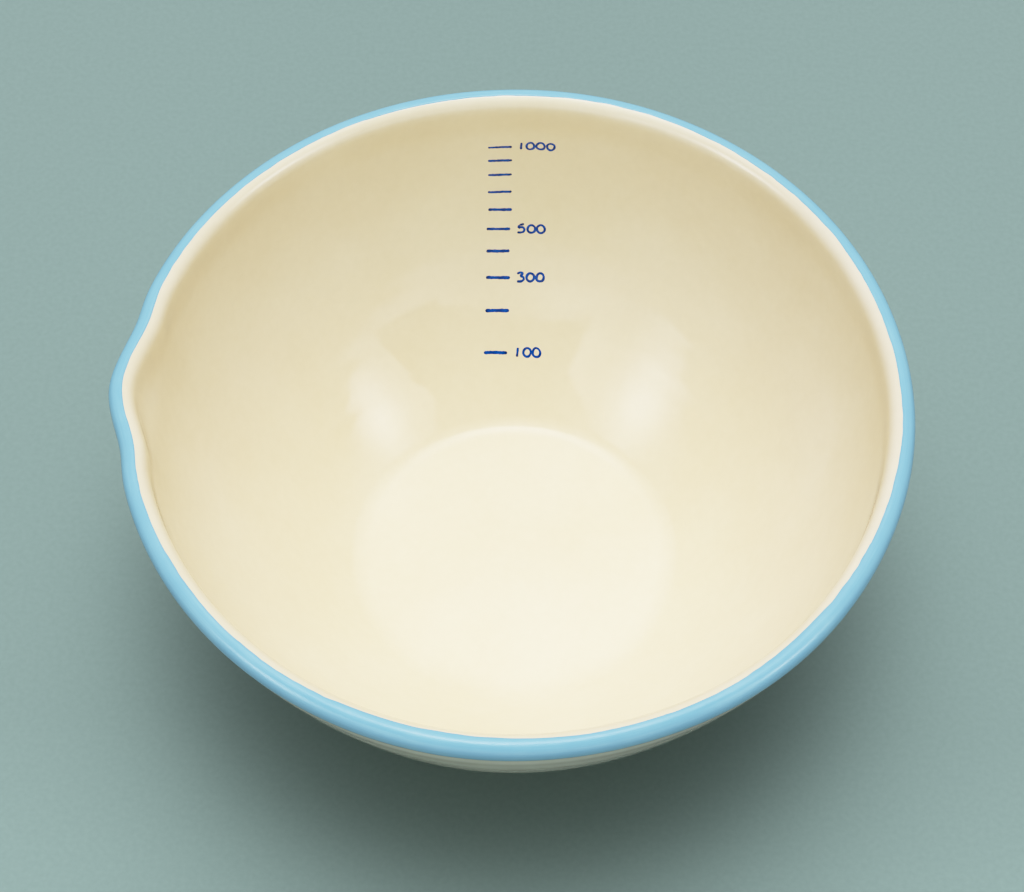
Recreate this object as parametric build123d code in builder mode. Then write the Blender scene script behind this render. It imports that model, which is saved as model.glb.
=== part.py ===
from build123d import *
import math
import os

os.makedirs("parts", exist_ok=True)

# Graduated evaporating dish: a wide round stoneware bowl with a thick rolled rim,
# a small pour lip, a blue glazed band on the rim and a printed volume scale inside.
# +Z up, origin at the centre of the foot, the pour lip points along -X.

# ---------------------------------------------------------------- driving sizes
rim_radius = 96.5            # outermost radius of the rolled rim
bead_radius = 2.95           # radius of the rolled rim's round section
inner_depth = 74.3           # inner floor to the centre of the rolled rim
floor_thickness = 5.0
foot_height = 3.0
foot_outer_radius = 41.6
foot_inner_radius = 35.4
floor_radius = 40.8          # where the flat inner floor turns up into the wall
floor_blend = 10.0           # radius of that turn
wall_arc = 92.5              # length of the inner wall, measured along the section
wall_slopes = [33.5, 43.5, 50.2, 59.2, 70.2, 82.7]   # slope at equal steps along it

band_start = 100.0           # blue band: angles round the rolled rim's section
band_end = -22.0
band_thickness = 0.5

lip_azimuth = 180.0          # pour lip
lip_reach = 2.4              # how far it stands out
lip_pinch = 0.7              # how far the rim is pinched in beside it
lip_dip = 0.8                # how far its edge drops
lip_half_angle = 24.0        # the pulled sector, each side of the lip
lip_drop = 28.0              # how far down the wall the pull reaches

scale_azimuth = 91.6         # the volume scale runs up the wall here
line_offset = -5.1           # centre of the lines, along the wall
line_length = 6.2
numeral_first = 0.8          # centre of the first digit, along the wall
numeral_pitch = 2.68
numeral_width = 2.45
numeral_height = 2.85
numeral_stroke = 0.62
ink_depth = 0.25             # the fired-on marks sink this far into the wall
ink_proud = 0.06

floor_z = foot_height + floor_thickness
rim_z = floor_z + inner_depth
bead_r = rim_radius - bead_radius


# ---------------------------------------------------------------- wall section
STEPS = 740
ds = wall_arc / STEPS


def slope_at(s):
    t = min(max(s / wall_arc, 0.0), 1.0) * (len(wall_slopes) - 1)
    i = min(int(t), len(wall_slopes) - 2)
    return math.radians(wall_slopes[i] + (wall_slopes[i + 1] - wall_slopes[i]) * (t - i))


wall_r, wall_z = [floor_radius], [floor_z]
for k in range(STEPS):
    a = slope_at((k + 0.5) * ds)
    wall_r.append(wall_r[-1] + math.cos(a) * ds)
    wall_z.append(wall_z[-1] + math.sin(a) * ds)


def inner_point(s):
    """(r, z) on the inner wall at arc length s from the floor's edge."""
    t = min(max(s / ds, 0.0), STEPS)
    i = min(int(t), STEPS - 1)
    f = t - i
    return (wall_r[i] + (wall_r[i + 1] - wall_r[i]) * f, wall_z[i] + (wall_z[i + 1] - wall_z[i]) * f)


def arc_at_height(z):
    for k in range(STEPS):
        if wall_z[k + 1] >= z:
            return (k + (z - wall_z[k]) / (wall_z[k + 1] - wall_z[k])) * ds
    return wall_arc


def arc_at_volume(millilitres):
    """Arc length up the inner wall at which the bowl holds this volume."""
    total = 0.0
    for k in range(STEPS):
        r0, r1 = wall_r[k], wall_r[k + 1]
        step = math.pi * (wall_z[k + 1] - wall_z[k]) * (r0 * r0 + r0 * r1 + r1 * r1) / 3000.0
        if total + step >= millilitres:
            return (k + (millilitres - total) / step) * ds
        total += step
    return wall_arc


def bead_point(angle, radius=bead_radius):
    a = math.radians(angle)
    return (bead_r + radius * math.cos(a), rim_z + radius * math.sin(a))


split_z = rim_z - lip_drop
split_arc = arc_at_height(split_z)
split_r = inner_point(split_arc)[0]
split_slope = slope_at(split_arc)
contact_angle = 90.0 + wall_slopes[-1]

# outer wall: (radius, height below the rim centre), thick at the rim, even below it
outer_upper = [(95.0, -5.0), (92.9, -10.7), (90.85, -16.2), (88.6, -21.7)]
outer_split = (85.9, -lip_drop)
outer_lower = [(80.04, -39.1), (73.3, -48.9), (65.8, -58.1), (57.6, -66.6), (49.6, -74.0)]
outer_split_slope = math.radians(66.5)


def lip_pull(azimuth):
    """(outward, downward) displacement of the rim at an azimuth."""
    t = abs(azimuth - lip_azimuth)
    edge = max(0.0, 1.0 - (t / lip_half_angle) ** 4) ** 2
    out = lip_reach * math.exp(-((t / 6.2) ** 2)) - lip_pinch * math.exp(-(((t - 11.5) / 3.9) ** 2))
    return out * edge, lip_dip * math.exp(-((t / 8.0) ** 2)) * edge


def wall_weight(z):
    """How much of the rim's pull the wall takes at height z."""
    t = min(max((z - split_z) / (rim_z - 5.0 - split_z), 0.0), 1.0)
    return t * t * t * (t * (6.0 * t - 15.0) + 10.0)


def section_plane(azimuth):
    a = math.radians(azimuth)
    return Plane(origin=(0, 0, 0), x_dir=(math.cos(a), math.sin(a), 0), z_dir=(math.sin(a), -math.cos(a), 0))


def moved(point, pull):
    out, down = pull
    w = wall_weight(point[1])
    return (point[0] + out * w, point[1] - down * w)


inner_steps = 9
inner_points = [inner_point(split_arc + (wall_arc - split_arc) * k / inner_steps) for k in range(inner_steps)]
outer_points = [(r, rim_z + dz) for r, dz in outer_upper] + [(outer_split[0], rim_z + outer_split[1])]


def wall_edges(pull):
    """Upper wall and rolled rim, less the blue band's thickness: one closed loop."""
    shift = lambda p: (p[0] + pull[0], p[1] - pull[1])
    end = shift(bead_point(contact_angle))
    inner = [moved(p, pull) for p in inner_points]
    outer = [moved(p, pull) for p in outer_points]
    a_in, a_out = bead_point(contact_angle), bead_point(band_end)
    Spline(
        *(inner + [end]),
        tangents=[(math.cos(split_slope), math.sin(split_slope)),
                  (math.sin(math.radians(contact_angle)), -math.cos(math.radians(contact_angle)))],
    )
    ThreePointArc(end, shift(bead_point((contact_angle + band_start) / 2)), shift(bead_point(band_start)))
    inner_r = bead_radius - band_thickness
    Line(shift(bead_point(band_start)), shift(bead_point(band_start, inner_r)))
    ThreePointArc(shift(bead_point(band_start, inner_r)), shift(bead_point((band_start + band_end) / 2, inner_r)),
                  shift(bead_point(band_end, inner_r)))
    Line(shift(bead_point(band_end, inner_r)), shift(a_out))
    Spline(
        *([shift(a_out)] + outer),
        tangents=[(math.sin(math.radians(band_end)), -math.cos(math.radians(band_end))),
                  (-math.cos(outer_split_slope), -math.sin(outer_split_slope))],
    )
    Line(outer[-1], inner[0])


def band_edges(pull):
    shift = lambda p: (p[0] + pull[0], p[1] - pull[1])
    inner_r = bead_radius - band_thickness
    middle = (band_start + band_end) / 2
    Line(shift(bead_point(band_start)), shift(bead_point(band_start, inner_r)))
    ThreePointArc(shift(bead_point(band_start, inner_r)), shift(bead_point(middle, inner_r)),
                  shift(bead_point(band_end, inner_r)))
    Line(shift(bead_point(band_end, inner_r)), shift(bead_point(band_end)))
    ThreePointArc(shift(bead_point(band_end)), shift(bead_point(middle)), shift(bead_point(band_start)))


stations = [lip_azimuth - lip_half_angle + lip_half_angle * k / 8 for k in range(17)]

# ---------------------------------------------------------------- scale marks
def ink_points(s, half, offset, count=5):
    """Points along the wall's section, this far behind its surface, near arc length s."""
    pts = []
    for k in range(count):
        t = s - half + 2 * half * k / (count - 1)
        r, z = inner_point(t)
        a = slope_at(t)
        pts.append((r + offset * math.sin(a), z - offset * math.cos(a)))
    return pts


def ink_section(s, half):
    near, far = ink_points(s, half, -ink_proud), ink_points(s, half, ink_depth)
    Spline(*near)
    Line(near[-1], far[-1])
    Spline(*far)
    Line(far[0], near[0])


def mark_plane(s, across):
    """Plane on the wall at arc length s and this far along it, facing into the bowl."""
    r, z = inner_point(s)
    slope = slope_at(s)
    az = math.radians(scale_azimuth) - across / r
    inward = (-math.cos(az) * math.sin(slope), -math.sin(az) * math.sin(slope), math.cos(slope))
    return Plane(origin=(r * math.cos(az), r * math.sin(az), z), x_dir=(math.sin(az), -math.cos(az), 0), z_dir=inward)


line_widths = {1000: 0.74, 900: 0.76, 800: 0.73, 700: 0.73, 600: 0.88,
               500: 0.88, 400: 1.0, 300: 1.04, 200: 1.08, 100: 1.04}
marks = {}

for volume, width in line_widths.items():
    s = arc_at_volume(volume)
    per_mm = math.degrees(1.0 / inner_point(s)[0])
    with BuildPart() as graduation_line:
        with BuildSketch(section_plane(scale_azimuth - (line_offset + line_length / 2) * per_mm)):
            with BuildLine():
                ink_section(s, width / 2)
            make_face()
        revolve(axis=Axis.Z, revolution_arc=line_length * per_mm)
    marks["graduation_line_%d" % volume] = graduation_line.part


def digit(kind):
    """One monoline digit, centred, drawn on the current sketch."""
    w, h, t = numeral_width, numeral_height, numeral_stroke
    if kind == "0":
        Ellipse(w / 2, h / 2)
        Ellipse(w / 2 - t, h / 2 - t, mode=Mode.SUBTRACT)
    elif kind == "1":
        SlotOverall(h, t, rotation=90)
    elif kind == "5":
        x0, x1 = -w * 0.28, w * 0.33
        top, mid = h / 2 - t / 2, h * 0.10
        with Locations(((x0 + x1) / 2, top)):
            SlotOverall(x1 - x0 + t, t)
        with Locations((x0, (top + mid) / 2)):
            SlotOverall(top - mid + t, t, rotation=90)
        r = (mid + h / 2 - t / 2) / 2
        with BuildLine(mode=Mode.PRIVATE) as bowl:
            ThreePointArc((x0, mid), (x0 + 0.36 * w + r * 0.42, mid - r), (x0 - 0.04 * w, -h / 2 + t / 2 + 0.12))
        SlotArc(bowl.edge(), t)
    elif kind == "3":
        top, low = h / 2 - t / 2, -h / 2 + t / 2
        with BuildLine(mode=Mode.PRIVATE) as upper:
            ThreePointArc((-w * 0.27, top - 0.1), (w * 0.24, top * 0.55), (-w * 0.06, 0.08))
        with BuildLine(mode=Mode.PRIVATE) as lower:
            ThreePointArc((-w * 0.06, 0.08), (w * 0.30, low * 0.5), (-w * 0.30, low + 0.1))
        SlotArc(upper.edge(), t)
        SlotArc(lower.edge(), t)


for number in (1000, 500, 300, 100):
    s = arc_at_volume(number)
    text = str(number)
    digits = []
    for k, kind in enumerate(text):
        with BuildPart() as one_digit:
            with BuildSketch(section_plane(scale_azimuth - 14.0)):
                with BuildLine():
                    ink_section(s, numeral_height * 0.8)
                make_face()
            revolve(axis=Axis.Z, revolution_arc=18.0)
            with BuildSketch(mark_plane(s, numeral_first + numeral_pitch * k)):
                digit(kind)
            extrude(amount=2.0, both=True, mode=Mode.INTERSECT)
        digits.append(one_digit.part)
    with BuildPart() as numeral:
        for piece in digits:
            add(piece)
    marks["numeral_%d" % number] = numeral.part

# ---------------------------------------------------------------- bowl
# the pulled sector of the upper wall, with the pour lip
with BuildPart() as lip_sector:
    for azimuth in stations:
        with BuildSketch(section_plane(azimuth)):
            with BuildLine():
                wall_edges(lip_pull(azimuth))
            make_face()
    loft()

# the rest of the upper wall and rolled rim
with BuildPart() as upper_wall:
    with BuildSketch(section_plane(stations[-1])):
        with BuildLine():
            wall_edges((0.0, 0.0))
        make_face()
    revolve(axis=Axis.Z, revolution_arc=360.0 - 2 * lip_half_angle)

# lower wall, floor and foot ring
with BuildPart() as lower_bowl:
    blend = floor_blend * math.tan(math.radians(wall_slopes[0]) / 2)
    with BuildSketch(section_plane(stations[-1])):
        with BuildLine():
            start = inner_point(blend)
            low = [inner_point(blend + (split_arc - blend) * k / 8) for k in range(1, 9)]
            low[-1] = inner_points[0]
            a0 = slope_at(0.0)
            Spline(*([start] + low), tangents=[(math.cos(a0), math.sin(a0)),
                                               (math.cos(split_slope), math.sin(split_slope))])
            Line(low[-1], outer_points[-1])
            outer = [outer_points[-1]] + [(r, rim_z + dz) for r, dz in outer_lower] + [(foot_outer_radius + 1.4, foot_height + 1.0)]
            Spline(*outer, tangents=[(-math.cos(outer_split_slope), -math.sin(outer_split_slope)),
                                     (-math.cos(math.radians(38)), -math.sin(math.radians(38)))])
            foot_top = outer[-1]
            Polyline(foot_top, (foot_outer_radius, foot_height - 0.8), (foot_outer_radius - 0.5, 0.0),
                     (foot_inner_radius + 0.6, 0.0), (foot_inner_radius, foot_height - 0.4),
                     (foot_inner_radius - 1.2, foot_height), (0, foot_height), (0, floor_z),
                     (floor_radius - blend, floor_z))
            TangentArc((floor_radius - blend, floor_z), start, tangent=(1, 0))
        make_face()
    revolve(axis=Axis.Z, revolution_arc=360.0)

# The lip's edges follow a circle to a few nanometres only, so the three meet with a tolerance.
whole_bowl = lower_bowl.part.fuse(upper_wall.part, lip_sector.part, tol=0.0005)
with BuildPart() as dish_body:
    add(whole_bowl)
    for piece in marks.values():
        add(piece, mode=Mode.SUBTRACT)

# ---------------------------------------------------------------- blue rim band
with BuildPart() as rim_band:
    for azimuth in stations:
        with BuildSketch(section_plane(azimuth)):
            with BuildLine():
                band_edges(lip_pull(azimuth))
            make_face()
    loft()
    with BuildSketch(section_plane(stations[-1])):
        with BuildLine():
            band_edges((0.0, 0.0))
        make_face()
    revolve(axis=Axis.Z, revolution_arc=360.0 - 2 * lip_half_angle)

# ---------------------------------------------------------------- hand-over
dish_body.part.label = "dish_body"
export_step(dish_body.part, "parts/dish_body.step")
rim_band.part.label = "rim_glaze_band"
export_step(rim_band.part, "parts/rim_glaze_band.step")
for name, piece in marks.items():
    piece.label = name
    export_step(piece, "parts/%s.step" % name)

brim = arc_at_volume(1e9)
print("rim diameter %.1f, height %.1f, split radius %.2f" % (2 * rim_radius, rim_z + bead_radius, split_r))
print("line heights above the floor:", {v: round(inner_point(arc_at_volume(v))[1] - floor_z, 2) for v in line_widths})
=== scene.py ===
import math

import bpy
import numpy as np
from mathutils import Matrix, Vector


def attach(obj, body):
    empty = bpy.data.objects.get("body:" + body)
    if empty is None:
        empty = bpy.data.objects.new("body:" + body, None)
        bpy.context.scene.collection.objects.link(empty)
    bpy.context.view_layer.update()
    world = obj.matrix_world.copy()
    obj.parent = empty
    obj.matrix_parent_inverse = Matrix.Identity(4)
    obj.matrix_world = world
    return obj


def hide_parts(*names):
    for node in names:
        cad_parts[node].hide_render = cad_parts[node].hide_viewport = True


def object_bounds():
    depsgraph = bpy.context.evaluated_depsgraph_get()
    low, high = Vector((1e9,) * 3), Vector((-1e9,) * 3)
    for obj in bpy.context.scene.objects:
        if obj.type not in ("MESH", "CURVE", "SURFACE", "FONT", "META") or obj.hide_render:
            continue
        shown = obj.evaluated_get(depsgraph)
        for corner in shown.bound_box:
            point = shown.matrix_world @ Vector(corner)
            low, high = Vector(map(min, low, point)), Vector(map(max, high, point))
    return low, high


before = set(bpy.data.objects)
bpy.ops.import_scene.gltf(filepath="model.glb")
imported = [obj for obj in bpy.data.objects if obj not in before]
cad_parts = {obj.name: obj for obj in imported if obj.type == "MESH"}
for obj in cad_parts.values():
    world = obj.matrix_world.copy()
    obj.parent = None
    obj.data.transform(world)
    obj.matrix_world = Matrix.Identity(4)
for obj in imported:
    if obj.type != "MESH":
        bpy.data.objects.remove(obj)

MM = 0.001
rng = np.random.RandomState(11)
cad_low, cad_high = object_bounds()

# ------------------------------------------------------------------ sizes, in mm
BEAD = 2.95
RIM_Z = cad_high[2] / MM - BEAD
RIM_R = cad_high[0] / MM
BEAD_R = RIM_R - BEAD
FOOT = 3.0
FLOOR_Z = RIM_Z - 74.3
FLOOR_R = 40.8
WALL_ARC = 92.5
SLOPES = [33.5, 43.5, 50.2, 59.2, 70.2, 82.7]
FLOOR_BLEND = 10.0
LIP_AZ, LIP_HALF, LIP_DROP = 180.0, 24.0, 28.0
LIP_REACH, LIP_PINCH, LIP_DIP = 2.4, 0.7, 0.8
LIP_FLARE = 15.0                                     # mm below the rim where the inside of the lip starts to open
SCALE_AZ = 91.6

# ------------------------------------------------------------------ section of the wall
_steps = 1480
_ds = WALL_ARC / _steps
_mid = (np.arange(_steps) + 0.5) * _ds
_slope = np.radians(np.interp(_mid, np.linspace(0, WALL_ARC, 6), SLOPES))
WALL_S = np.arange(_steps + 1) * _ds
WALL_RR = FLOOR_R + np.r_[0, np.cumsum(np.cos(_slope) * _ds)]
WALL_ZZ = FLOOR_Z + np.r_[0, np.cumsum(np.sin(_slope) * _ds)]


def wall_slope(s):
    return np.radians(np.interp(s, np.linspace(0, WALL_ARC, 6), SLOPES))


def cubic(points, m0, m1, per_mm):
    """A smooth curve through points, with unit tangents m0 and m1 at its ends."""
    p = np.array(points, float)
    h = np.hypot(*np.diff(p, axis=0).T)
    n = len(p)
    a, b = np.zeros((n, n)), np.zeros((n, 2))
    a[0, 0] = a[-1, -1] = 1
    b[0], b[-1] = m0, m1
    for i in range(1, n - 1):
        a[i, i - 1], a[i, i], a[i, i + 1] = h[i], 2 * (h[i - 1] + h[i]), h[i - 1]
        b[i] = 3 * (h[i - 1] * (p[i + 1] - p[i]) / h[i] + h[i] * (p[i] - p[i - 1]) / h[i - 1])
    d = np.linalg.solve(a, b)
    out = []
    for i in range(n - 1):
        k = max(2, int(round(h[i] * per_mm)))
        t = np.arange(k)[:, None] / k
        out.append((2 * t**3 - 3 * t**2 + 1) * p[i] + (t**3 - 2 * t**2 + t) * h[i] * d[i]
                   + (3 * t**2 - 2 * t**3) * p[i + 1] + (t**3 - t**2) * h[i] * d[i + 1])
    out.append(p[-1:])
    return np.vstack(out)


def bead(angle_deg, radius=BEAD):
    a = np.radians(angle_deg)
    return np.stack([BEAD_R + radius * np.cos(a), RIM_Z + radius * np.sin(a)], -1)


OUTER = [(95.0, -5.0), (92.9, -10.7), (90.85, -16.2), (88.6, -21.7), (85.9, -28.0), (80.5, -39.1),
         (74.0, -48.9), (66.5, -58.1), (58.15, -66.6), (49.85, -74.0), (43.0, FOOT + 1.0 - RIM_Z)]


def chaikin(points, rounds=3):
    p = np.array(points, float)
    for _ in range(rounds):
        q = np.empty((2 * len(p) - 2, 2))
        q[0::2] = 0.75 * p[:-1] + 0.25 * p[1:]
        q[1::2] = 0.25 * p[:-1] + 0.75 * p[1:]
        p = np.vstack([p[:1], q, p[-1:]])
    return p


LIP_START = WALL_ARC - 12.0
LIP_END = 100.0
LIP_ROUND = 3.45


def inner_lip(count):
    """The upper wall turning softly into the top of the rim, from LIP_START up the wall to LIP_END on the bead."""
    s = np.arange(LIP_START - 4.0, WALL_ARC - 9.0, 0.1)
    wall = np.stack([np.interp(s, WALL_S, WALL_RR), np.interp(s, WALL_S, WALL_ZZ)], -1)
    e = math.radians(LIP_END)
    p3 = bead(LIP_END)
    centre = p3 - LIP_ROUND * np.array([math.cos(e), math.sin(e)])
    a = np.radians(np.arange(171.0, LIP_END, -1.2))
    turn = centre + LIP_ROUND * np.stack([np.cos(a), np.sin(a)], -1)
    p0, p1 = wall[-1], turn[0]
    t0 = wall[-1] - wall[-2]
    t0 /= np.hypot(*t0)
    t1 = np.array([math.sin(a[0]), -math.cos(a[0])])
    d = np.hypot(*(p1 - p0))
    k = np.linspace(0, 1, 90)[1:-1, None]
    join = ((2 * k**3 - 3 * k**2 + 1) * p0 + (k**3 - 2 * k**2 + k) * d * t0 + (3 * k**2 - 2 * k**3) * p1 + (k**3 - k**2) * d * t1)
    top = bead(np.arange(LIP_END, 60.0, -1.5))
    line = np.vstack([wall, join, turn, top])
    g = np.r_[0, np.cumsum(np.hypot(*np.diff(line, axis=0).T))]
    # even out the curvature where the pieces meet
    fine = np.arange(0, g[-1], 0.05)
    line = np.stack([np.interp(fine, g, line[:, 0]), np.interp(fine, g, line[:, 1])], -1)
    w = np.exp(-0.5 * (np.arange(-40, 41) * 0.05 / 0.72) ** 2)
    w /= w.sum()
    pad = np.vstack([2 * line[0] - line[40:0:-1], line, 2 * line[-1] - line[-2:-42:-1]])
    line = np.stack([np.convolve(pad[:, i], w, "valid") for i in (0, 1)], -1)
    i0 = int(np.argmin(np.hypot(*(line - np.array([np.interp(LIP_START, WALL_S, WALL_RR), np.interp(LIP_START, WALL_S, WALL_ZZ)])).T)))
    i1 = int(np.argmin(np.hypot(*(line - p3).T)))
    pick = np.linspace(i0, i1, count)
    idx = np.arange(len(line))
    return np.stack([np.interp(pick, idx, line[:, 0]), np.interp(pick, idx, line[:, 1])], -1)


def section(wall_step, bead_step, outer_per_mm):
    """(r, z) from the floor's centre over the rim to the middle of the underside."""
    blend = FLOOR_BLEND * math.tan(math.radians(SLOPES[0]) / 2)
    floor_end = FLOOR_R - blend
    floor = [(floor_end * math.sqrt(k / 14.0), FLOOR_Z) for k in range(14)]
    a = np.radians(np.linspace(0, SLOPES[0], 8))
    turn = np.stack([floor_end + FLOOR_BLEND * np.sin(a), FLOOR_Z + FLOOR_BLEND * (1 - np.cos(a))], -1)
    s = np.linspace(blend, LIP_START, int(round((LIP_START - blend) / wall_step)))[1:-1]
    wall = np.stack([np.interp(s, WALL_S, WALL_RR), np.interp(s, WALL_S, WALL_ZZ)], -1)
    top = np.vstack([inner_lip(36)[:-1], bead(np.linspace(LIP_END, -22.0, int(round((LIP_END + 22.0) / bead_step))))])
    outer = cubic([tuple(bead(-22.0))] + [(r, RIM_Z + z) for r, z in OUTER],
                  (math.sin(math.radians(-22)), -math.cos(math.radians(-22))),
                  (-math.cos(math.radians(38)), -math.sin(math.radians(38))), outer_per_mm)[1:]
    foot = chaikin([tuple(outer[-1]), (41.7, 2.2), (41.15, 0.55), (40.6, 0.0), (38.6, 0.0), (36.6, 0.0), (35.9, 0.5),
                    (35.2, 2.5), (33.6, FOOT), (30.0, FOOT)], 2)[1:]
    under = [(r, FOOT) for r in (26.0, 20.0, 14.0, 8.0, 3.0, 0.0)]
    return np.vstack([floor, turn, wall, top, outer, foot, under])


# ------------------------------------------------------------------ hand-made irregularity
def ring_noise(low, high, amount, seed):
    """A periodic random function of the azimuth (radians), of this rms size."""
    r = np.random.RandomState(seed)
    k = np.arange(low, high + 1)
    size = k ** -0.9
    size = size / math.sqrt((size**2).sum() / 2) * amount
    phase = r.uniform(0, 2 * np.pi, len(k))

    def f(theta):
        return (size * np.cos(np.multiply.outer(theta, k) + phase)).sum(-1)
    return f


round_error = ring_noise(2, 9, 0.10, 3)
height_error = ring_noise(2, 7, 0.10, 5)
thick_error = ring_noise(3, 14, 0.05, 8)


def lip_pull(theta):
    t = np.abs((np.degrees(theta) - LIP_AZ + 180.0) % 360.0 - 180.0)
    edge = np.maximum(0.0, 1.0 - (t / LIP_HALF) ** 4) ** 2
    reach = LIP_REACH * np.exp(-((t / 6.2) ** 2))
    pinch = LIP_PINCH * np.exp(-(((t - 11.5) / 3.9) ** 2))
    return reach * edge, pinch * edge, LIP_DIP * np.exp(-((t / 8.0) ** 2)) * edge


def smooth(t):
    t = np.clip(t, 0.0, 1.0)
    return t * t * t * (t * (6.0 * t - 15.0) + 10.0)


def throwing(theta, s):
    """Shallow rings left in the inner wall by the potter's fingers, in mm."""
    turn = theta / (2 * np.pi)
    soft = smooth((s - 6.0) / 16.0) * smooth((WALL_ARC - 2.0 - s) / 14.0)
    a = 0.010 * np.sin(2 * np.pi * (s / 11.3 + turn)) + 0.006 * np.sin(2 * np.pi * (s / 6.1 - turn + 0.3))
    return soft * a


def place(theta, r, z, nr, nz, lift, inner=True):
    """Points of the real, slightly uneven surface: theta and the section arrays broadcast together. In metres."""
    reach, pinch, down = lip_pull(theta)
    # outside, the rim moves outwards as a whole; inside, the wall opens gradually right up to the top of the rim
    w = np.where(inner, smooth((z - (RIM_Z - LIP_DROP)) / (LIP_DROP + 2.4)), smooth((z - (RIM_Z - LIP_DROP)) / (LIP_DROP - 5.0)))
    flare = np.where(inner, smooth((z - (RIM_Z - LIP_FLARE)) / (LIP_FLARE + 2.4)), w)
    up = smooth((z - 18.0) / (RIM_Z - 18.0))
    rr = r + reach * flare - pinch * w + round_error(theta) * up + nr * lift
    zz = z - down * w + height_error(theta) * up + nz * lift
    return np.stack([rr * np.cos(theta), rr * np.sin(theta), zz], -1) * MM


def section_normals(p):
    t = np.gradient(p, axis=0)
    t /= np.hypot(t[:, 0], t[:, 1])[:, None] + 1e-12
    return -t[:, 1], t[:, 0]


def new_mesh(name, verts, faces, smooth_faces=True):
    me = bpy.data.meshes.new(name)
    me.from_pydata(verts.reshape(-1, 3).tolist(), [], faces)
    me.update()
    if smooth_faces:
        me.polygons.foreach_set("use_smooth", np.ones(len(me.polygons), bool))
    ob = bpy.data.objects.new(name, me)
    bpy.context.scene.collection.objects.link(ob)
    return ob


def put_attribute(ob, name, values, kind="FLOAT"):
    at = ob.data.attributes.new(name, kind, "POINT")
    at.data.foreach_set("value" if kind == "FLOAT" else "vector", np.asarray(values, np.float32).ravel())


# ------------------------------------------------------------------ the bowl
def make_bowl():
    p = section(1.2, 5.6, 0.62)
    nr, nz = section_normals(p)
    rows = len(p)
    count = 400
    theta = np.arange(count) * 2 * np.pi / count
    inner = (nz > 0) & (np.arange(rows) < rows // 2 + 60) & (p[:, 0] < RIM_R)
    s_of = np.interp(p[:, 1], WALL_ZZ, WALL_S)
    last_inner = int(np.argmax(p[:, 1]))
    rings = np.where(np.arange(rows) < last_inner, 1.0, 0.0)
    body = p[1:-1]
    th = theta[:, None]
    lift = throwing(th, s_of[None, 1:-1]) * rings[None, 1:-1]
    # the outer wall carries turning marks too, a little coarser
    outside = ((np.arange(rows) > last_inner + 12) & (p[:, 1] > 5.0) & (nr > 0.2))[1:-1]
    lift = lift + outside[None, :] * 0.0015 * np.sin(2 * np.pi * (body[None, :, 1] / 8.7 + th / (2 * np.pi)))
    grid = place(th, body[None, :, 0], body[None, :, 1], nr[None, 1:-1], nz[None, 1:-1], lift, (np.arange(rows) <= last_inner)[None, 1:-1])
    m = rows - 2
    verts = np.vstack([grid.reshape(-1, 3), [[0, 0, p[0, 1] * MM], [0, 0, p[-1, 1] * MM]]])
    a = np.arange(count)[:, None] * m
    b = np.roll(a, -1, axis=0)
    j = np.arange(m - 1)[None, :]
    quads = np.stack([a + j, b + j, b + j + 1, a + j + 1], -1).reshape(-1, 4)
    first, last = count * m, count * m + 1
    faces = quads.tolist()
    for k in range(count):
        n = (k + 1) % count
        faces.append([first, n * m, k * m])
        faces.append([last, k * m + m - 1, n * m + m - 1])
    ob = new_mesh("bowl", verts, faces)
    z = np.r_[np.tile(body[:, 1], count), p[0, 1], p[-1, 1]]
    r = np.r_[np.tile(body[:, 0], count), 0, 0]
    az = np.r_[np.repeat(theta, m), 0, 0]
    low_side = np.r_[np.tile((np.arange(1, rows - 1) > last_inner), count), False, True]
    wobble = ring_noise(3, 30, 0.35, 21)(az)
    bare = low_side * np.clip((1.6 + wobble - z) / 0.5, 0, 1) * (r > 34.5)
    put_attribute(ob, "bare", bare)
    put_attribute(ob, "outside", low_side * 1.0)
    return ob


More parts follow.
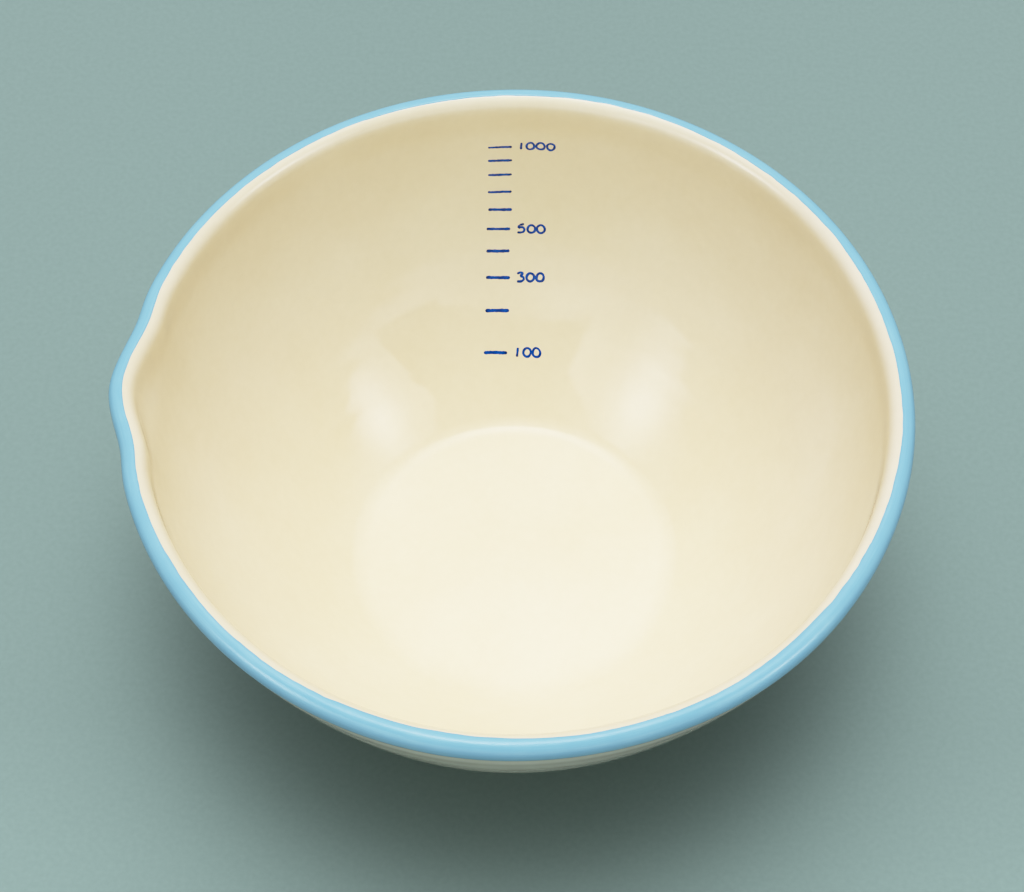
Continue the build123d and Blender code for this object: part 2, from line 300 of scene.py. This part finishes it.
# ------------------------------------------------------------------ the blue band
def make_band():
    psi = np.linspace(LIP_END, -22.0, 80)
    turn = inner_lip(200)[150:-1]
    top = np.vstack([turn, bead(psi)])
    outer = cubic([tuple(bead(-22.0))] + [(r, RIM_Z + z) for r, z in OUTER[:6]],
                  (math.sin(math.radians(-22)), -math.cos(math.radians(-22))),
                  (-0.466, -0.885), 4.0)[1:40]
    line = np.vstack([top, outer])
    s = np.r_[0, np.cumsum(np.hypot(*np.diff(line, axis=0).T))]
    crest = np.interp(-90.0, -psi, s[len(turn):len(turn) + len(psi)])
    s = s - crest                                    # 0 at the top of the rim, growing outwards
    nr, nz = section_normals(line)
    count = 900
    theta = np.arange(count) * 2 * np.pi / count
    start = -math.radians(13.5) * BEAD + ring_noise(4, 60, 0.10, 31)(theta) + ring_noise(40, 150, 0.035, 32)(theta)
    # the brush ran wider over two stretches of the near side
    deg = np.degrees(theta)
    start = start - 0.10 - 0.95 * np.exp(-((deg - 259.0) / 15.0) ** 2) - 0.65 * np.exp(-((deg - 318.0) / 13.0) ** 2)
    end = math.radians(116.0) * BEAD + ring_noise(3, 40, 0.13, 33)(theta) + ring_noise(40, 120, 0.03, 34)(theta)
    rows = 26
    u = np.linspace(0, 1, rows)
    u = 0.5 - 0.5 * np.cos(np.pi * u) * (0.55 + 0.45 * np.abs(np.cos(np.pi * u)))
    t = start[:, None] + (end - start)[:, None] * u[None, :]
    edge = np.minimum(t - start[:, None], end[:, None] - t)
    lift = -0.05 + 0.13 * smooth(edge / 0.55)
    R, Z = np.interp(t, s, line[:, 0]), np.interp(t, s, line[:, 1])
    NR, NZ = np.interp(t, s, nr), np.interp(t, s, nz)
    th = theta[:, None]
    topg = place(th, R, Z, NR, NZ, lift, t < 0)
    back_rows = 8
    pick = np.linspace(rows - 1, 0, back_rows).round().astype(int)
    backg = place(th, R[:, pick], Z[:, pick], NR[:, pick], NZ[:, pick], -0.30 + 0 * R[:, pick], t[:, pick] < 0)
    grid = np.concatenate([topg, backg], 1)
    m = grid.shape[1]
    a = np.arange(count)[:, None] * m
    b = np.roll(a, -1, axis=0)
    j = np.arange(m)[None, :]
    k = (j + 1) % m
    faces = np.stack([a + j, b + j, b + k, a + k], -1).reshape(-1, 4).tolist()
    ob = new_mesh("rim_band", grid, faces)
    run = np.concatenate([t, t[:, pick]], 1)
    along = np.repeat(theta[:, None] * RIM_R, m, 1)
    e = np.concatenate([edge, edge[:, pick]], 1)
    put_attribute(ob, "brush", np.stack([along * 0.02, run, e], -1), "FLOAT_VECTOR")
    put_attribute(ob, "edge", e)
    put_attribute(ob, "across", run)
    return ob


# ------------------------------------------------------------------ painted scale
def wall_point(u, s, h):
    """On the inner wall: u mm to the right of the scale's axis, s mm up from the floor's edge, h mm out of the wall."""
    r, z = np.interp(s, WALL_S, WALL_RR), np.interp(s, WALL_S, WALL_ZZ)
    a = wall_slope(s)
    th = math.radians(SCALE_AZ) - u / r
    return place(th, r, z, -np.sin(a), np.cos(a), h + throwing(th, s))


def resample(path, step):
    """A smooth curve through the path's points, at even steps."""
    p = np.array(path, float)
    if len(p) == 2:
        p = np.vstack([p[0], p.mean(0), p[1]])
    q = np.vstack([2 * p[0] - p[1], p, 2 * p[-1] - p[-2]])
    out = []
    for i in range(1, len(q) - 2):
        t = np.linspace(0, 1, 24, endpoint=False)[:, None]
        out.append(0.5 * ((2 * q[i]) + (q[i + 1] - q[i - 1]) * t + (2 * q[i - 1] - 5 * q[i] + 4 * q[i + 1] - q[i + 2]) * t**2
                          + (3 * q[i] - q[i - 1] - 3 * q[i + 1] + q[i + 2]) * t**3))
    out.append(p[-1:])
    c = np.vstack(out)
    d = np.r_[0, np.cumsum(np.hypot(*np.diff(c, axis=0).T))]
    n = max(6, int(d[-1] / step))
    g = np.linspace(0, d[-1], n)
    return np.stack([np.interp(g, d, c[:, 0]), np.interp(g, d, c[:, 1])], -1), g


ACROSS = np.array([-1.0, -0.93, -0.72, -0.38, 0.0, 0.38, 0.72, 0.93, 1.0])


def stroke(path, w0, w1, seed, closed=False, tall=1.0):
    """A brush stroke lying on the wall: closed shell rows. Returns verts, faces, ink depth values."""
    r = np.random.RandomState(seed)
    if closed:
        c, g = path, np.r_[0, np.cumsum(np.hypot(*np.diff(path, axis=0).T))]
        tang = np.roll(c, -1, 0) - np.roll(c, 1, 0)
    else:
        c, g = resample(path, 0.11)
        tang = np.gradient(c, axis=0)
    tang = tang / np.hypot(tang[:, 0], tang[:, 1])[:, None]
    side = np.stack([tang[:, 1], -tang[:, 0]], -1)
    n = len(c)
    x = g / max(g[-1], 1e-6)
    half = (w0 + (w1 - w0) * x) / 2
    ph = r.uniform(0, 6.28, 8)
    wob = lambda q: sum(math.pow(0.75, k) * np.sin(g * (1.3 + 1.9 * k) + ph[(k + q) % 8]) for k in range(5)) * 0.022
    if closed:
        wob = lambda q: sum(np.sin(2 * np.pi * x * (k + 1) + ph[(k + q) % 8]) for k in range(4)) * 0.016
    left, right = half * (1 + wob(0) / 0.3), half * (1 + wob(3) / 0.3)
    if not closed:
        # rounded ends
        for e, sign in ((0, -1), (n - 1, 1)):
            dist = np.abs(g - g[e])
            cap = np.sqrt(np.clip(1 - np.clip(1 - dist / (half[e] * 0.95), 0, 1) ** 2, 0.0009, 1))
            left, right = left * cap, right * cap
    ends = np.exp(-((x - 0.0) * g[-1] / 0.5) ** 2) + np.exp(-((1 - x) * g[-1] / 0.5) ** 2) if not closed else 0 * x
    high = 0.028 * tall * np.sqrt(1 - np.clip(np.abs(ACROSS), 0, 0.999) ** 2)
    span = np.where(ACROSS[None, :] < 0, left[:, None], right[:, None]) * ACROSS[None, :]
    pts = c[:, None, :] + side[:, None, :] * span[..., None]
    top = wall_point(pts[..., 0], pts[..., 1], high[None, :] + 0.006 + 0 * span)
    low = wall_point(pts[:, ::-1, 0], pts[:, ::-1, 1], -0.10 + 0 * span)
    rows = np.concatenate([top, low], 1)
    m = rows.shape[1]
    a = np.arange(n if closed else n - 1)[:, None] * m
    b = (np.arange(n if closed else n - 1)[:, None] + 1) % n * m
    j = np.arange(m)[None, :]
    k = (j + 1) % m
    faces = np.stack([a + j, a + k, b + k, b + j], -1).reshape(-1, 4).tolist()
    if not closed:
        faces.append(list(range(m))[::-1])
        faces.append(list(range((n - 1) * m, n * m)))
    depth = np.repeat((0.5 + 0.5 * ends + 0.25 * np.sin(g * 1.7 + ph[0]))[:, None], m, 1)
    return rows.reshape(-1, 3), faces, depth.ravel()


def join_strokes(name, parts):
    verts, faces, ink, base = [], [], [], 0
    for v, f, d in parts:
        verts.append(v)
        faces += [[i + base for i in q] for q in f]
        ink.append(d)
        base += len(v)
    ob = new_mesh(name, np.vstack(verts), faces)
    put_attribute(ob, "ink", np.concatenate(ink))
    return ob


def zero(cu, cs, hu, hs, width, seed, lean=0.06):
    r = np.random.RandomState(seed)
    a = np.linspace(0, 2 * np.pi, 56, endpoint=False) + 0.4
    ph = r.uniform(0, 6.28, 3)
    k = 1 + 0.03 * np.sin(a * 2 + ph[0]) + 0.02 * np.sin(a * 3 + ph[1])
    u = cu + hu * np.cos(a) * k + lean * hs * np.sin(a)
    s = cs + hs * np.sin(a) * k
    return stroke(np.stack([u, s], -1), width, width * 1.05, seed, closed=True)


LINES = {
    1000: ([(-8.02, 79.64), (-6.32, 79.62), (-4.74, 79.60), (-1.68, 79.63)], 0.56, 0.72),
    900: ([(-8.04, 75.48), (-5.67, 75.38), (-1.62, 75.40)], 0.70, 0.74),
    800: ([(-8.00, 71.08), (-5.34, 70.99), (-1.66, 71.03)], 0.68, 0.72),
    700: ([(-8.06, 65.92), (-5.31, 65.84), (-1.64, 65.84)], 0.64, 0.72),
    600: ([(-7.92, 60.76), (-4.96, 60.61), (-1.52, 60.52)], 0.78, 0.84),
    500: ([(-8.34, 55.22), (-5.36, 55.01), (-1.94, 54.92)], 0.72, 0.80),
    400: ([(-8.38, 48.88), (-5.32, 48.71), (-2.06, 48.61)], 0.88, 0.90),
    300: ([(-8.44, 41.48), (-5.27, 41.21), (-1.90, 41.07)], 0.88, 0.92),
    200: ([(-8.56, 32.29), (-5.09, 32.06), (-2.06, 31.92)], 0.96, 0.98),
    100: ([(-8.90, 20.82), (-5.65, 20.51), (-2.46, 20.26)], 0.92, 0.94),
}
FIGURES = {
    1000: ([[(0.82, 81.02), (0.72, 79.87), (0.63, 78.82)]],
           [(3.15, 79.95, 0.98, 1.08), (5.83, 80.04, 1.11, 1.00), (8.52, 80.04, 1.01, 1.01)]),
    500: ([[(1.75, 56.36), (1.06, 56.23), (0.46, 56.06)], [(0.46, 56.06), (0.32, 55.57), (0.20, 55.13)],
           [(0.20, 55.13), (0.81, 55.42), (1.48, 55.39), (1.84, 54.87), (1.65, 54.28), (0.92, 53.92), (-0.13, 53.97)]],
          [(3.70, 55.02, 1.00, 1.10), (6.22, 55.11, 1.06, 1.11)]),
    300: ([[(-0.03, 42.18), (0.71, 42.52), (1.39, 42.48), (1.36, 42.06), (0.74, 41.55)],
           [(0.74, 41.55), (1.53, 41.36), (1.79, 40.83), (1.41, 40.25), (0.64, 40.03), (-0.10, 40.09)]],
          [(3.57, 41.30, 1.00, 1.14), (6.20, 41.45, 1.01, 1.11)]),
    100: ([[(0.43, 21.72), (0.29, 20.37), (0.13, 19.13)]],
          [(2.90, 20.46, 1.01, 1.16), (5.45, 20.57, 1.05, 1.19)]),
}


def make_scale():
    made = []
    for k, (volume, (path, w0, w1)) in enumerate(LINES.items()):
        ob = join_strokes("line_%d" % volume, [stroke(path, w0, w1, 100 + k)])
        made.append((ob, "graduation_line_%d" % volume))
    for k, (number, (paths, zeros)) in enumerate(FIGURES.items()):
        w = {1000: 0.61, 500: 0.64, 300: 0.69, 100: 0.66}[number]
        parts = [stroke(p, w * 0.95, w * 1.05, 200 + 10 * k + i) for i, p in enumerate(paths)]
        parts += [zero(cu, cs, hu, hs, w, 240 + 10 * k + i) for i, (cu, cs, hu, hs) in enumerate(zeros)]
        made.append((join_strokes("figures_%d" % number, parts), "numeral_%d" % number))
    return made


# ------------------------------------------------------------------ materials
def nodes_of(name):
    m = bpy.data.materials.new(name)
    m.use_nodes = True
    t = m.node_tree
    return m, t.nodes, t.links, t.nodes["Principled BSDF"]


def add(nodes, kind, **values):
    n = nodes.new(kind)
    for key, value in values.items():
        if hasattr(n, key):
            setattr(n, key, value)
        else:
            n.inputs[key.replace("_", " ")].default_value = value
    return n


def ramp(nodes, stops, mode="LINEAR"):
    n = nodes.new("ShaderNodeValToRGB")
    n.color_ramp.interpolation = mode
    while len(n.color_ramp.elements) < len(stops):
        n.color_ramp.elements.new(0.5)
    for e, (pos, col) in zip(n.color_ramp.elements, stops):
        e.position = pos
        e.color = tuple(col) + ((1.0,) if len(col) == 3 else ())
    return n


def mix(nodes, links, fac, a, b, blend="MIX"):
    n = nodes.new("ShaderNodeMix")
    n.data_type = "RGBA"
    n.blend_type = blend
    for sock, v in ((n.inputs[0], fac), (n.inputs[6], a), (n.inputs[7], b)):
        if hasattr(v, "node"):
            links.new(v, sock)
        else:
            sock.default_value = v if not isinstance(v, tuple) or len(v) == 4 else v + (1.0,)
    return n.outputs[2]


def math_node(nodes, links, op, a, b=0.0, clamp=False):
    n = nodes.new("ShaderNodeMath")
    n.operation = op
    n.use_clamp = clamp
    for sock, v in ((n.inputs[0], a), (n.inputs[1], b)):
        if hasattr(v, "node"):
            links.new(v, sock)
        else:
            sock.default_value = v
    return n.outputs[0]


def cream_material():
    m, N, L, bsdf = nodes_of("cream_glaze")
    co = add(N, "ShaderNodeTexCoord").outputs["Object"]
    broad = add(N, "ShaderNodeTexNoise", Scale=22.0, Detail=4.0, Roughness=0.55)
    fine = add(N, "ShaderNodeTexNoise", Scale=420.0, Detail=3.0, Roughness=0.6)
    for n in (broad, fine):
        L.new(co, n.inputs["Vector"])
    base = ramp(N, [(0.35, (0.812, 0.700, 0.474)), (0.65, (0.850, 0.745, 0.522))])
    L.new(broad.outputs["Fac"], base.inputs[0])
    tint = ramp(N, [(0.3, (0.972, 0.972, 0.965)), (0.7, (1.0, 1.0, 1.0))])
    L.new(fine.outputs["Fac"], tint.inputs[0])
    col = mix(N, L, 1.0, base.outputs[0], tint.outputs[0], "MULTIPLY")
    # painted bounce light: outside, the cream is painted lighter and blue-green, standing in for light thrown up from
    # the teal floor
    outside = add(N, "ShaderNodeAttribute", attribute_name="outside")
    col = mix(N, L, outside.outputs["Fac"], col, mix(N, L, 1.0, col, (1.06, 1.17, 1.36), "MULTIPLY"))
    # painted light colour: high on the walls the cream is painted a little less yellow, differently on the right, left
    # and far sides, standing in for the colour of the light falling there
    xyz = add(N, "ShaderNodeSeparateXYZ")
    L.new(co, xyz.inputs[0])
    high = math_node(N, L, "MULTIPLY", math_node(N, L, "SUBTRACT", xyz.outputs[2], 0.006), 25.0, clamp=True)
    for axis, scale, glaze in ((0, 12.0, (1.0, 1.012, 1.10)), (0, -12.0, (1.0, 1.005, 1.045)), (1, 12.0, (0.965, 1.003, 1.05))):
        side = math_node(N, L, "MULTIPLY", xyz.outputs[axis], scale, clamp=True)
        col = mix(N, L, math_node(N, L, "MULTIPLY", side, high), col, mix(N, L, 1.0, col, glaze, "MULTIPLY"))
    # a few iron specks and pinholes in the glaze
    speck = add(N, "ShaderNodeTexVoronoi", feature="F1", Scale=115.0)
    L.new(co, speck.inputs["Vector"])
    sep = add(N, "ShaderNodeSeparateColor")
    L.new(speck.outputs["Color"], sep.inputs[0])
    rare = math_node(N, L, "GREATER_THAN", sep.outputs[0], 0.955)
    size = math_node(N, L, "MULTIPLY", sep.outputs[1], 0.045)
    size = math_node(N, L, "ADD", size, 0.012)
    near = math_node(N, L, "SUBTRACT", 1.0, math_node(N, L, "DIVIDE", speck.outputs["Distance"], size), clamp=True)
    spot = math_node(N, L, "MULTIPLY", near, rare)
    strength = math_node(N, L, "MULTIPLY", spot, 0.8, clamp=True)
    col = mix(N, L, strength, col, (0.30, 0.22, 0.13))
    # bare clay on the foot ring
    bare = add(N, "ShaderNodeAttribute", attribute_name="bare")
    clay_noise = add(N, "ShaderNodeTexNoise", Scale=900.0, Detail=6.0, Roughness=0.7)
    L.new(co, clay_noise.inputs["Vector"])
    clay = ramp(N, [(0.3, (0.50, 0.42, 0.30)), (0.6, (0.66, 0.58, 0.45)), (0.8, (0.72, 0.65, 0.53))])
    L.new(clay_noise.outputs["Fac"], clay.inputs[0])
    col = mix(N, L, bare.outputs["Fac"], col, clay.outputs[0])
    L.new(col, bsdf.inputs["Base Color"])
    rough = ramp(N, [(0.3, (0.05, 0.05, 0.05)), (0.7, (0.09, 0.09, 0.09))])
    L.new(broad.outputs["Fac"], rough.inputs[0])
    L.new(mix(N, L, bare.outputs["Fac"], rough.outputs[0], (0.78, 0.78, 0.78)), bsdf.inputs["Roughness"])
    bsdf.inputs["IOR"].default_value = 1.5
    # uneven glaze surface
    peel = add(N, "ShaderNodeTexNoise", Scale=150.0, Detail=2.0, Roughness=0.4)
    L.new(co, peel.inputs["Vector"])
    b1 = add(N, "ShaderNodeBump", Distance=0.0004)
    L.new(math_node(N, L, "SUBTRACT", 0.10, math_node(N, L, "MULTIPLY", outside.outputs["Fac"], 0.094)), b1.inputs["Strength"])
    L.new(peel.outputs["Fac"], b1.inputs["Height"])
    b2 = add(N, "ShaderNodeBump", Strength=0.6, Distance=0.00025, invert=True)
    L.new(spot, b2.inputs["Height"])
    L.new(b1.outputs[0], b2.inputs["Normal"])
    b3 = add(N, "ShaderNodeBump", Distance=0.0003)
    L.new(math_node(N, L, "MULTIPLY", bare.outputs["Fac"], 0.8), b3.inputs["Strength"])
    L.new(clay_noise.outputs["Fac"], b3.inputs["Height"])
    L.new(b2.outputs[0], b3.inputs["Normal"])
    L.new(b3.outputs[0], bsdf.inputs["Normal"])
    return m


def blue_material():
    m, N, L, bsdf = nodes_of("blue_glaze")
    brush = add(N, "ShaderNodeAttribute", attribute_name="brush")
    edge = add(N, "ShaderNodeAttribute", attribute_name="edge")
    streak = add(N, "ShaderNodeTexNoise", Scale=2.6, Detail=5.0, Roughness=0.6)
    L.new(brush.outputs["Vector"], streak.inputs["Vector"])
    co = add(N, "ShaderNodeTexCoord").outputs["Object"]
    cloud = add(N, "ShaderNodeTexNoise", Scale=70.0, Detail=4.0, Roughness=0.6)
    L.new(co, cloud.inputs["Vector"])
    base = ramp(N, [(0.30, (0.180, 0.415, 0.590)), (0.55, (0.215, 0.460, 0.625)), (0.75, (0.265, 0.515, 0.665))])
    fac = math_node(N, L, "ADD", math_node(N, L, "MULTIPLY", streak.outputs["Fac"], 0.55),
                    math_node(N, L, "MULTIPLY", cloud.outputs["Fac"], 0.45))
    L.new(fac, base.inputs[0])
    # thin glaze at the very edge lets the cream through, with a slightly deeper line beside it
    thin = ramp(N, [(0.0, (1, 1, 1)), (0.10, (0.35, 0.35, 0.35)), (0.22, (0, 0, 0))])
    L.new(edge.outputs["Fac"], thin.inputs[0])
    deep = ramp(N, [(0.10, (0, 0, 0)), (0.30, (1, 1, 1)), (0.75, (0, 0, 0))])
    L.new(edge.outputs["Fac"], deep.inputs[0])
    col = mix(N, L, math_node(N, L, "MULTIPLY", deep.outputs[0], 0.35), base.outputs[0], (0.150, 0.370, 0.560))
    col = mix(N, L, math_node(N, L, "MULTIPLY", thin.outputs[0], 0.55), col, (0.62, 0.72, 0.68))
    L.new(col, bsdf.inputs["Base Color"])
    rough = ramp(N, [(0.3, (0.07, 0.07, 0.07)), (0.7, (0.13, 0.13, 0.13))])
    L.new(cloud.outputs["Fac"], rough.inputs[0])
    L.new(rough.outputs[0], bsdf.inputs["Roughness"])
    bsdf.inputs["IOR"].default_value = 1.5
    b1 = add(N, "ShaderNodeBump", Strength=0.25, Distance=0.0001)
    L.new(streak.outputs["Fac"], b1.inputs["Height"])
    L.new(b1.outputs[0], bsdf.inputs["Normal"])
    return m


def ink_material():
    m, N, L, bsdf = nodes_of("cobalt_ink")
    ink = add(N, "ShaderNodeAttribute", attribute_name="ink")
    co = add(N, "ShaderNodeTexCoord").outputs["Object"]
    grain = add(N, "ShaderNodeTexNoise", Scale=1500.0, Detail=4.0, Roughness=0.65)
    L.new(co, grain.inputs["Vector"])
    fac = math_node(N, L, "ADD", math_node(N, L, "MULTIPLY", ink.outputs["Fac"], 0.6),
                    math_node(N, L, "MULTIPLY", grain.outputs["Fac"], 0.5))
    base = ramp(N, [(0.25, (0.001, 0.082, 0.440)), (0.6, (0.001, 0.052, 0.320)), (0.9, (0.001, 0.022, 0.130))])
    L.new(fac, base.inputs[0])
    L.new(base.outputs[0], bsdf.inputs["Base Color"])
    rough = ramp(N, [(0.3, (0.14, 0.14, 0.14)), (0.7, (0.24, 0.24, 0.24))])
    L.new(grain.outputs["Fac"], rough.inputs[0])
    L.new(rough.outputs[0], bsdf.inputs["Roughness"])
    bsdf.inputs["Specular IOR Level"].default_value = 0.22
    b1 = add(N, "ShaderNodeBump", Strength=0.3, Distance=0.00003)
    L.new(grain.outputs["Fac"], b1.inputs["Height"])
    L.new(b1.outputs[0], bsdf.inputs["Normal"])
    return m


def floor_material():
    m, N, L, bsdf = nodes_of("studio_floor")
    co = add(N, "ShaderNodeTexCoord").outputs["Object"]
    n = add(N, "ShaderNodeTexNoise", Scale=700.0, Detail=3.0)
    L.new(co, n.inputs["Vector"])
    base = ramp(N, [(0.3, (0.183, 0.258, 0.248)), (0.7, (0.197, 0.275, 0.265))])
    L.new(n.outputs["Fac"], base.inputs[0])
    xyz = add(N, "ShaderNodeSeparateXYZ")
    L.new(co, xyz.inputs[0])
    # painted light: the floor is painted 9 % lighter towards the front (-y), standing in for light reaching the ground
    # in front of the dish
    near = math_node(N, L, "MULTIPLY", math_node(N, L, "SUBTRACT", -0.045, xyz.outputs[1]), 25.0, clamp=True)
    L.new(mix(N, L, near, base.outputs[0], mix(N, L, 1.0, base.outputs[0], (1.09, 1.09, 1.09), "MULTIPLY")), bsdf.inputs["Base Color"])
    bsdf.inputs["Roughness"].default_value = 0.85
    bsdf.inputs["Specular IOR Level"].default_value = 0.15
    return m


# ------------------------------------------------------------------ put it together
cream, blue, ink_mat = cream_material(), blue_material(), ink_material()

bowl = make_bowl()
bowl.data.materials.append(cream)
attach(bowl, "root")
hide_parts("dish_body")

band = make_band()
band.data.materials.append(blue)
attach(band, "root")
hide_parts("rim_glaze_band")

for ob, node in make_scale():
    ob.data.materials.append(ink_mat)
    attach(ob, "root")
    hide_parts(node)

for name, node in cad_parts.items():
    node.data.materials.clear()
    node.data.materials.append(cream if name == "dish_body" else blue if name == "rim_glaze_band" else ink_mat)

# ------------------------------------------------------------------ studio
floor = new_mesh("studio_floor", np.array([[-3, -3, 0], [3, -3, 0], [3, 3, 0], [-3, 3, 0]], float), [[0, 1, 2, 3]], False)
floor.data.materials.append(floor_material())

# The dish stands in a soft tent of light: a bright ceiling behind and above it, diffusers left and right with straight
# front edges, a low white card in front, and an unlit gap between them.
def direction(az, el):
    a, e = math.radians(az), math.radians(el)
    return (math.cos(a) * math.cos(e), math.sin(a) * math.cos(e), math.sin(e))


# name, azimuth, elevation, half width (all in degrees), radiance: what lights the surfaces
TENT = [
    ("top", 91.6, 88, 20, 0.55), ("zenith", -88, 88.5, 10.5, 12.7), ("back70", 91.6, 68, 18, 5.3), ("backright60", 30, 60, 16, 0.40),
    ("backleft60", 153, 60, 16, 0.90), ("card_low", -88, 4, 13, 5.6), ("low_right", 0, 6, 14, 0.5), ("low_left", 183, 6, 14, 0.3), 
    ("side_left", 170, 30, 13, 0.75), ("side_right", 10, 30, 13, 0.5),
]
# what the glaze mirrors: an even white tent with an unlit gap, and the brighter middles of the lamps behind the cloth
MIRROR = [
    ("m_even", 0, 0, 0, 0.65), ("m_front_right", -50, 32, 13, 1.9), ("m_front_left", -110, 34, 13, 1.9), ("m_top", 91.6, 84, 13, 4.5),
    ("m_right", -20, 32, 7.5, 6.5), ("m_left", -149, 32, 9, 6.5),
]
# the gap's edges: straight between these directions (azimuth, elevation)
GAP_RIGHT = [((-36, 23), (-46, 40.5)), ((-46, 40.5), (-38, 47))]
GAP_LEFT = [((-132, 46), (-112, 38.5)), ((-112, 38.5), (-117, 26.4))]
GAP_LOW = [((-33, 21), (-59, 23)), ((-63.5, 26), (-119, 26.4))]


def make_world():
    world = bpy.data.worlds.new("studio")
    bpy.context.scene.world = world
    world.use_nodes = True
    t = world.node_tree
    N, L = t.nodes, t.links
    vec = add(N, "ShaderNodeTexCoord").outputs["Generated"]

    def dot(v):
        n = add(N, "ShaderNodeVectorMath", operation="DOT_PRODUCT")
        L.new(vec, n.inputs[0])
        n.inputs[1].default_value = v
        return n.outputs["Value"]

    def beside(p, q, inner, soft):
        """1 on the side of the great circle through p and q where the direction inner lies."""
        n = Vector(direction(*p)).cross(Vector(direction(*q))).normalized()
        if n.dot(Vector(direction(*inner))) < 0:
            n = -n
        m = add(N, "ShaderNodeMapRange", interpolation_type="SMOOTHSTEP")
        m.inputs["From Min"].default_value, m.inputs["From Max"].default_value = -soft, soft
        L.new(dot(tuple(n)), m.inputs["Value"])
        return m.outputs["Result"]

    middle = (-82, 42)
    low, high = "MINIMUM", "MAXIMUM"
    right = math_node(N, L, low, beside(*GAP_RIGHT[0], middle, 0.004), 1.0)
    right = math_node(N, L, high, right, math_node(N, L, low, beside(*GAP_RIGHT[1], middle, 0.004), beside((-80, 41), (-46, 40.5), (-60, 60), 0.004)))
    left = math_node(N, L, low, beside(*GAP_LEFT[1], middle, 0.008), beside((-80, 38), (-112, 38.5), (-80, 20), 0.004))
    left = math_node(N, L, high, left, math_node(N, L, low, beside(*GAP_LEFT[0], (-117, 60), 0.008), beside((-80, 38), (-112, 38.5), (-80, 60), 0.004)))
    under = math_node(N, L, high, math_node(N, L, low, beside(*GAP_LOW[0], middle, 0.006), beside((-60, 10), (-61, 60), (-30, 30), 0.004)),
                      math_node(N, L, low, beside(*GAP_LOW[1], middle, 0.006), beside((-60, 10), (-61, 60), (-90, 30), 0.004)))
    gap = math_node(N, L, low, math_node(N, L, low, right, left), under)
    front = math_node(N, L, "LESS_THAN", dot((0, 1, 0)), -0.02)
    gap = math_node(N, L, "MULTIPLY", gap, front)
    lit = math_node(N, L, "SUBTRACT", 1.0, gap)

    def patches(table):
        total = None
        for name, az, el, width, level in table:
            if width:
                k = 0.6931 / (1 - math.cos(math.radians(width)))
                e = math_node(N, L, "MULTIPLY", math_node(N, L, "SUBTRACT", dot(direction(az, el)), 1.0), k)
                v = math_node(N, L, "MULTIPLY", math_node(N, L, "EXPONENT", e), level)
            else:
                v = math_node(N, L, "ADD", level, 0.0)
            v.node.name = "level_" + name
            total = v if total is None else math_node(N, L, "ADD", total, v)
        return total
    surfaces = N["Background"]
    L.new(patches(TENT), surfaces.inputs[1])
    surfaces.inputs[0].default_value = (1, 1, 1, 1)
    mirror = add(N, "ShaderNodeBackground")
    mirror.inputs[0].default_value = (1, 1, 1, 1)
    L.new(math_node(N, L, "MULTIPLY", patches(MIRROR), lit), mirror.inputs[1])
    pick = add(N, "ShaderNodeMixShader")
    L.new(add(N, "ShaderNodeLightPath").outputs["Is Glossy Ray"], pick.inputs[0])
    L.new(surfaces.outputs[0], pick.inputs[1])
    L.new(mirror.outputs[0], pick.inputs[2])
    L.new(pick.outputs[0], N["World Output"].inputs[0])


make_world()

# ------------------------------------------------------------------ camera
F_PX, WIDTH, HEIGHT = 2800.0, 1024, 892
UNIT = 96.5
DIST, ELEV, ROLL, U0, V0 = 7.029, math.radians(56.31), math.radians(-0.5703), 515.9, 400.2
TURN = math.radians(SCALE_AZ - 90.0)

C = np.array([0, -DIST * math.cos(ELEV), DIST * math.sin(ELEV)])
fw = -C / np.linalg.norm(C)
right = np.array([1.0, 0, 0])
up = np.cross(right, fw)
d = np.array([(U0 - WIDTH / 2) / F_PX, -(V0 - HEIGHT / 2) / F_PX, 1.0])
d /= np.linalg.norm(d)
yaw, pit = math.atan2(d[0], d[2]), math.asin(d[1])
Ry = np.array([[math.cos(yaw), 0, math.sin(yaw)], [0, 1, 0], [-math.sin(yaw), 0, math.cos(yaw)]])
Rx = np.array([[1, 0, 0], [0, math.cos(pit), math.sin(pit)], [0, -math.sin(pit), math.cos(pit)]])
Rz = np.array([[math.cos(ROLL), -math.sin(ROLL), 0], [math.sin(ROLL), math.cos(ROLL), 0], [0, 0, 1]])
R = Ry @ Rx @ Rz @ np.array([right, up, fw])
spin = np.array([[math.cos(TURN), -math.sin(TURN), 0], [math.sin(TURN), math.cos(TURN), 0], [0, 0, 1]])
R = R @ spin.T
C = spin @ (C * UNIT * MM) + np.array([0, 0, RIM_Z * MM])
cam_data = bpy.data.cameras.new("camera")
cam = bpy.data.objects.new("camera", cam_data)
bpy.context.scene.collection.objects.link(cam)
cam_data.sensor_fit = "HORIZONTAL"
cam_data.sensor_width = 36.0
cam_data.lens = F_PX / WIDTH * 36.0
cam_data.clip_start, cam_data.clip_end = 0.01, 20.0
M = Matrix.Identity(4)
for i in range(3):
    M[i][0], M[i][1], M[i][2], M[i][3] = R[0][i], R[1][i], -R[2][i], C[i]
cam.matrix_world = M
bpy.context.scene.camera = cam

# the photograph's film: straight up to a third, then a soft shoulder
KNEE, WHITE = 0.45, 5.0
view = bpy.context.scene.view_settings
view.view_transform = "Standard"
view.use_curve_mapping = True
film = view.curve_mapping
film.white_level = (WHITE, WHITE, WHITE)
curve = film.curves[3]
for x in (0.15, 0.3, 0.4, 0.5, 0.65, 0.8, 1.0, 1.25, 1.6, 2.0, 2.6, 3.5):
    curve.points.new(x / WHITE, 0.5)
stops = sorted(curve.points, key=lambda p: p.location[0])
for p in stops:
    x = p.location[0] * WHITE
    p.location = (p.location[0], x if x < KNEE else KNEE + (1 - KNEE) * (1 - math.exp(-(x - KNEE) / (1 - KNEE))))
film.update()
